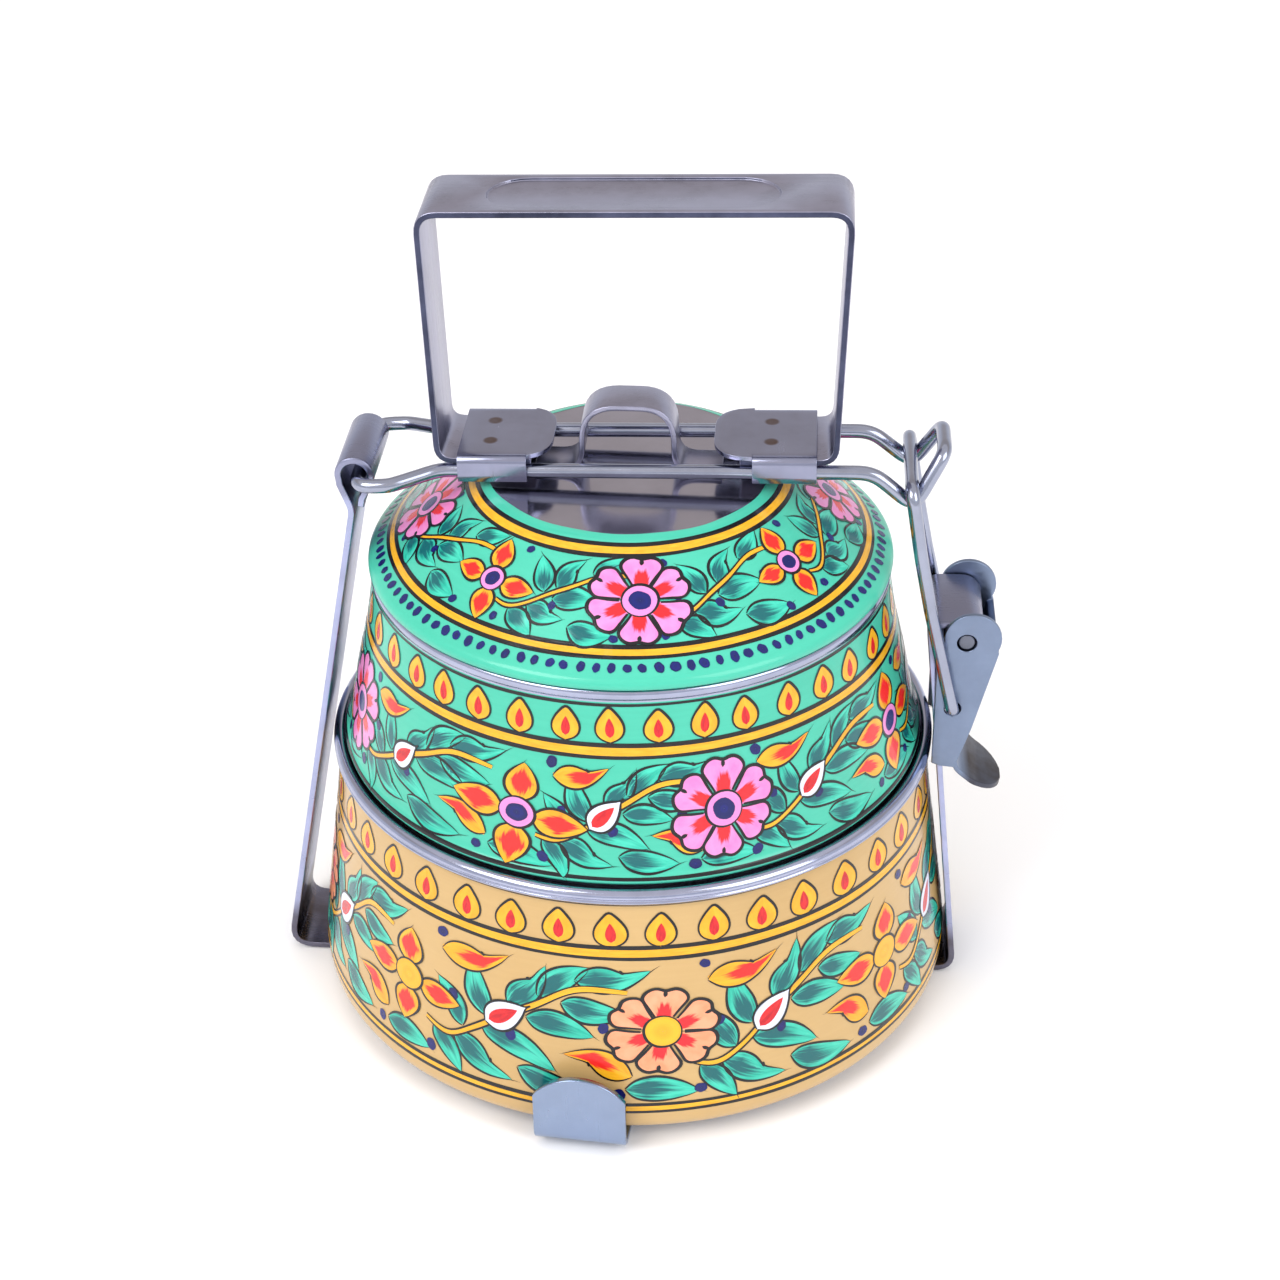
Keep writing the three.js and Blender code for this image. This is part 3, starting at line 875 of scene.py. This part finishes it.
def garland(
    name, skin, band, first, leaf_size, flowers, petal_paint, middle, moved, plain=False
):
    """Flowers round a band, joined by budded stems with leaves.

    flowers holds the radius and the widening of the rosettes, and of the stars. moved holds, for a
    flower out of step with the others, its number, the degrees round and the millimetres up. A
    plain garland has fewer, broader leaves, and neither buds nor gold leaves.
    """
    vines = Film(name + "_stems", skin, ["yellow"])
    greens = Film(name + "_leaves", skin, ["leaf", "gold_leaf"])
    paints = ["pink", "peach", "rose", "gold_petal", "yellow", "navy", "white", "red"]
    blooms = Film(name + "_flowers", skin, paints)
    lines = Film(name + "_outlines", skin, ["black"])
    low, high = sorted(band)
    centre, tall = (low + high) / 2, high - low
    count, stray = 8, math.radians(1.6)
    angles = [first + TURN * k / count + (vary(stray) if k else 0) for k in range(count)]
    rises = [0.0] * count
    for k, degrees, rise in moved:
        angles[k] += math.radians(degrees)
        rises[k] = rise
    (big, big_wide), (small, small_wide) = flowers
    breadth = leaf_size * 0.12
    for k, start in enumerate(angles):
        end = angles[(k + 1) % count] + (TURN if k == count - 1 else 0)
        wide = (end - start) * skin.at(centre)[0]

        def spread(x, y, start=start, end=end):
            """Angle and distance up, from shares of the way along and of the band's height."""
            return start + (end - start) * x, centre + tall * y

        def limb(x0, y0, x1, y1, flip=1):
            """A place at a leaf's foot, turned towards its tip, and its length."""
            x0, x1 = x0 + vary(0.012), x1 + vary(0.02)
            y0, y1 = y0 + vary(0.012), y1 + vary(0.02)
            dx, dy = wide * (x1 - x0), tall * (y1 - y0)
            return spot(skin, *spread(x0, y0), math.atan2(dy, dx), flip=flip), math.hypot(dx, dy)

        path = even([(wide * x, tall * (y + vary(0.01))) for x, y in STEM], 1.1)
        place, last = spot(skin, start, centre), len(path) - 1
        swell = [breadth * (0.55 + 0.6 * math.sin(math.pi * i / last)) for i in range(last + 1)]

        def width(t, swell=swell, last=last):
            return swell[round(t * last)]

        vines.stroke(path, width, place, LIFT["stem"], "yellow", columns=3)
        for side in (-1, 1):
            shifted = [(x, y + side * (w / 2 + 0.08)) for (x, y), w in zip(path, swell)]
            lines.stroke(shifted, hair(0.5, 0.5, 0.3), place, LIFT["stem line"], "black")
        for i, (*ends, nick) in enumerate(LID_SPRAY if plain else SPRAY):
            place, size = limb(*ends, 1 if i % 2 else -1)
            size = max(size, leaf_size * 0.85)
            broad = min(size, leaf_size) * (0.56 if plain else 0.43)
            bend, lift = 0.06 + vary(0.03), LIFT["leaf"] + 0.002 * i
            leaf(greens, lines, place, size, broad, "leaf", bend, nick, lift, 0.66)
        if not plain:
            for ends in GOLD:
                place, size = limb(*ends, -1)
                broad, lift = leaf_size * 0.42, LIFT["gold leaf"]
                leaf(greens, lines, place, size * 1.05, broad, "gold_leaf", 0.09, True, lift, 0.55)
            place = spot(skin, *spread(0.43, 0.01), math.radians(40 + vary(8)))
            bud(blooms, lines, place, leaf_size * 0.78)
        for x, y in DOTS:
            here = spot(skin, *spread(x + vary(0.01), y + vary(0.01)))
            blob(blooms, here, min(leaf_size * 0.1, 1.3) * (1 + vary(0.12)), "navy")
        if k % 2 == 0:
            turn = 0.5 + vary(0.1)
            rosette(blooms, lines, skin, start, centre, big, big_wide, petal_paint, middle, turn)
        else:
            turn = math.radians(90) + vary(0.12)
            star(blooms, lines, skin, start, centre + rises[k], small, small_wide, middle, turn)
    for film in (vines, greens, blooms, lines):
        film.finish()


def drops(name, skin, count, base, width, height):
    """A row of hanging-lamp drops right round the skin."""
    fills = Film(name + "_drops", skin, ["yellow", "red"])
    lines = Film(name + "_drop_outlines", skin, ["black"])
    for k in range(count):
        phi = TURN * (k + vary(0.05)) / count
        place = spot(skin, phi, base + vary(0.15), vary(0.06))
        drop(fills, lines, place, width * (1 + vary(0.05)), height * (1 + vary(0.04)))
    fills.finish()
    lines.finish()


# Lower vessel
up = lower_skin.height
bands = Film("lower_bands", lower_skin, ["yellow", "black"])
trim(bands, up(10.9), 1.4, 0.8)
trim(bands, up(50.5), 2.1, 0.9)
hoop(bands, up(62.6) - 0.15, 0.6, "black", LIFT["hoop line"])
bands.finish()
drops("lower", lower_skin, 39, up(52.1), 7.1, 8.6)
garland(
    "lower", lower_skin, (up(12.6), up(48.9)), math.radians(8.9), 14.5,
    ((11.0, 1.16), (12.6, 1.25)), "peach", ("yellow", None), [(7, -5.2, 0.0)],
)

# Upper vessel
up = upper_skin.height
bands = Film("upper_bands", upper_skin, ["yellow", "black"])
hoop(bands, up(68.1), 0.9, "black", LIFT["hoop line"])
trim(bands, up(96.2), 2.1, 0.9)
hoop(bands, up(106.6), 0.7, "black", LIFT["hoop line"])
bands.finish()
drops("upper", upper_skin, 38, up(98.0), 6.0, 8.0)
garland(
    "upper", upper_skin, (up(69.2), up(94.4)), math.radians(21.8), 11.8,
    ((11.5, 1.0), (12.0, 1.28)), "pink", ("rose", "navy"), [(7, 5.5, -1.6)],
)

# Lid, with a row of dots near its edge
up = lid_skin.ring
bands = Film("lid_bands", lid_skin, ["yellow", "black", "mint", "navy"])
trim(bands, up(53.1), 1.7, 0.9)
trim(bands, up(34.9), 2.0, 0.9)
hoop(bands, up(31.5) - 0.4, 1.7, "mint", 0.04, 0.22)  # the enamel's uneven edge at the disc
dots = 108
for k in range(dots):
    here = spot(lid_skin, TURN * (k + vary(0.08)) / dots, up(56.0) + vary(0.1))
    blob(bands, here, 1 + vary(0.12), "navy", tall=1.15)
bands.finish()
garland(
    "lid", lid_skin, (up(51.6), up(36.6)), math.radians(6.7), 9.6,
    ((9.9, 1.14), (9.2, 1.12)), "pink", ("rose", "navy"), [(1, 1.5, 0.0), (7, 2.5, -0.5)],
    plain=True,
)


# ------------------------------------------------------------------ fittings
eased("carrier_strip", "base_strap", "carrier", MAT["carrier"], 0.3)
eased("carrier_cross_strip", "cross_strap", "carrier", MAT["tab"], 0.3)
handle = eased("handle_strip", "handle_strap", "handle_frame", MAT["strip"], 0.32)
handle.data.materials.append(MAT["edge"])
for face in handle.data.polygons:
    if abs(face.normal.y) > 0.8:  # the strip's sheared edges
        face.material_index = 1
eased("lid_finger_tab", "lid_tab", "lid_assembly", MAT["strip"], 0.25)
eased("latch_lever_plate", "latch_lever", "lever", MAT["latch"], 0.22)
eased("latch_pivot_pin", "latch_pin", "lever", MAT["pin"], 0.45)

# The handle's frame is drawn level and then tilted about its hinge.
HINGE = Vector((-58.6, 0, 132.4))
LEAN = Matrix.Rotation(math.radians(-1.15), 4, "Y")
TILT = Matrix.Translation(HINGE) @ LEAN @ Matrix.Translation(-HINGE)


def saddle(name, node, outer, shoulder, inner):
    """A plate over the handle's foot. It is folded round both rods from outer to shoulder along
    the frame, and from there on is a flat nose, rounded off at inner."""
    half, corner, top = 11.7, 8.5, 138.0
    section = rounded([
        (0, -11.55, 132.4, 0), (0, -11.9, 133.7, 2), (0, -11.9, top, 1.8),
        (0, 11.9, top, 1.8), (0, 11.9, 133.7, 2), (0, 11.55, 132.4, 0),
    ], 8)
    edge = max(p.y for p in section if abs(p.z - top) < 1e-6)
    way = 1 if inner > outer else -1
    verts, faces, index = [], [], {}

    def vert(x, y, z):
        key = (round(x, 4), round(y, 4), round(z, 4))
        if key not in index:
            index[key] = len(verts)
            verts.append((x, y, z))
        return index[key]

    def quads(rows):
        """Faces between rows of points, without the corners that fall together."""
        for low, high in zip(rows, rows[1:]):
            for k in range(len(low) - 1):
                ring = [low[k], low[k + 1], high[k + 1], high[k]]
                ring = [v for i, v in enumerate(ring) if v != ring[i - 1]]
                if len(ring) > 2:
                    faces.append(ring[::way])

    levels = [edge * (k / 12 - 1) for k in range(25)]
    left = [(p.y, p.z) for p in section if p.y < -edge + 1e-6]
    right = [(-y, z) for y, z in reversed(left)]
    fold = left[:-1] + [(y, top) for y in levels] + right[1:]
    quads([[vert(x, y, z) for y, z in fold] for x in (outer, (outer + shoulder) / 2, shoulder)])

    def nose(y):
        """Where the rounded end is, as far as y from the middle."""
        if abs(y) <= half - corner:
            return inner
        return inner - way * corner * (1 - math.sqrt((half - abs(y)) / corner)) ** 2

    reach = abs(inner - shoulder)
    side = half - corner * (1 - math.sqrt(min(1, reach / corner))) ** 2 if reach < corner else half
    wings = [edge + (side - edge) * k / 3 for k in (3, 2, 1)]
    across = [-y for y in wings] + levels + wings[::-1]
    quads([
        [
            vert(shoulder + (nose(y) - shoulder) * k / 5 * (abs(y) < side - 1e-6), y, top)
            for y in across
        ]
        for k in range(6)
    ])
    bm = bmesh.new()
    for v in verts:
        bm.verts.new(TILT @ Vector(v) * MM)
    bm.verts.ensure_lookup_table()
    for face in faces:
        bm.faces.new([bm.verts[i] for i in face])
    bmesh.ops.recalc_face_normals(bm, faces=bm.faces)
    modifiers = [
        ("SOLIDIFY", {"thickness": 0.001, "offset": 0.0}),
        ("BEVEL", {"width": 0.00025, "segments": 3, "angle_limit": math.radians(50)}),
    ]
    obj = applied(name, bm, modifiers, MAT["saddle"], 35)
    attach(obj, "handle_frame")
    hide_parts(node)


saddle("saddle_plate_left", "saddle_left", -36.4, -21.4, -16.2)
saddle("saddle_plate_right", "saddle_right", 41.0, 27.2, 18.8)

half_frame = rounded([
    (*HINGE, 0), (-58.6, -14.9, 132.4, 4.2), (-51.0, -14.9, 132.7, 5), (-40.5, -9.5, 133.9, 10),
    (0, -9.7, 133.9, 0), (53.0, -9.8, 133.9, 8), (62.0, -10.2, 126.1, 2.6),
    (68.4, -6.6, 137.2, 3.2), (68.4, 0, 137.2, 0),
])
other_half = [Vector((p.x, -p.y, p.z)) for p in reversed(half_frame[1:-1])]
ring = [TILT @ p for p in half_frame + other_half]
wire("handle_wire", ring, 3.2, "handle_frame", "wire_frame", closed=True)

half_link = rounded([
    (61.4, 0, 134.0, 0), (61.4, -14.4, 134.0, 3.4), (64.1, -14.4, 118.4, 30),
    (66.9, -14.4, 105.0, 30), (73.5, -14.4, 78.0, 2.2), (73.5, -10.5, 78.0, 0),
])
other_half = [Vector((p.x, -p.y, p.z)) for p in half_link[1:]]
wire("latch_bail", half_link[::-1] + other_half, 3.0, "link", "latch_link")


# ------------------------------------------------------------------ stage
def floor():
    """A plain floor just under the object, clear when seen from below."""
    g = Graph("floor_paper")
    grain = g.noise(g.place(), 40.0)
    g.set(Base_Color=(0.93, 0.935, 0.95, 1), Roughness=g.span(grain, 0.3, 0.7, 0.75, 0.85))
    clear = g.add("ShaderNodeBsdfTransparent").outputs[0]
    behind = g.add("ShaderNodeNewGeometry").outputs["Backfacing"]
    seen = g.add("ShaderNodeMixShader", {0: behind, 1: g.shader.outputs[0], 2: clear})
    g.feed(g.tree.nodes["Material Output"].inputs["Surface"], seen.outputs[0])
    size, cells, below = 6.0, 8, -0.0003
    steps = [size * (i / cells - 0.5) for i in range(cells + 1)]
    corners = [i * (cells + 1) + k for i in range(cells) for k in range(cells)]
    faces = [(c, c + cells + 1, c + cells + 2, c + 1) for c in corners]
    mesh = bpy.data.meshes.new("floor")
    mesh.from_pydata([(x, y, below) for x in steps for y in steps], [], faces)
    mesh.materials.append(g.material)
    linked("floor", mesh)


def softbox(name, place, size, power, colour=(1, 1, 1)):
    """A rectangular lamp turned towards the object."""
    light = bpy.data.lights.new(name, "AREA")
    light.shape = "RECTANGLE"
    light.size, light.size_y = size
    light.energy = power
    light.color = colour
    obj = linked(name, light)
    obj.location = place
    aim = Vector((0, 0, 0.09)) - Vector(place)
    obj.rotation_euler = aim.to_track_quat("-Z", "Y").to_euler()
    return obj


floor()
softbox("key", (-0.75, -0.8, 1.1), (0.8, 0.8), 11)
softbox("fill", (0.95, -0.75, 0.85), (0.8, 0.9), 7, (0.94, 0.97, 1))
softbox("top", (0, 0.05, 1.5), (0.9, 0.5), 4).visible_glossy = False
sky = bpy.data.lights.new("sky", "SUN")
sky.energy = 0.75
sky.angle = math.radians(110)
linked("sky", sky).rotation_euler = (math.radians(18), 0, 0)

# The world is brightest at and below the horizon, and duller above.
world = bpy.data.worlds.new("studio")
world.use_nodes = True
bpy.context.scene.world = world
tree = world.node_tree
heading = tree.nodes.new("ShaderNodeTexCoord").outputs["Generated"]
split = tree.nodes.new("ShaderNodeSeparateXYZ")
tree.links.new(heading, split.inputs[0])
ramp = tree.nodes.new("ShaderNodeValToRGB")
tree.links.new(split.outputs[2], ramp.inputs[0])
stops = ramp.color_ramp.elements
stops[0].position, stops[0].color = 0.0, (1.05, 1.06, 1.08, 1)
stops[1].position, stops[1].color = 1.0, (0.6, 0.57, 0.56, 1)
stops.new(0.3).color = (0.88, 0.9, 0.94, 1)
stops.new(0.46).color = (0.72, 0.65, 0.6, 1)
tree.links.new(ramp.outputs[0], tree.nodes["Background"].inputs[0])
tree.nodes["Background"].inputs[1].default_value = 0.9
bpy.context.scene.view_settings.view_transform = "Standard"

camera = linked("camera", bpy.data.cameras.new("camera"))
eye_at, target, roll = Vector((0.036, -0.4678, 0.38)), Vector((0, 0, 0.067)), math.radians(-0.68)
facing = (target - eye_at).to_track_quat("-Z", "Y").to_matrix().to_4x4()
camera.matrix_world = Matrix.Translation(eye_at) @ facing @ Matrix.Rotation(roll, 4, "Z")
camera.data.lens = 67.5
camera.data.sensor_width = 36.0
camera.data.shift_x = 0.0057
camera.data.shift_y = 0.0535
camera.data.clip_start = 0.01
bpy.context.scene.camera = camera


def plain(box):
    """A box as lists of plain numbers."""
    return [[float(v) for v in corner] for corner in box]
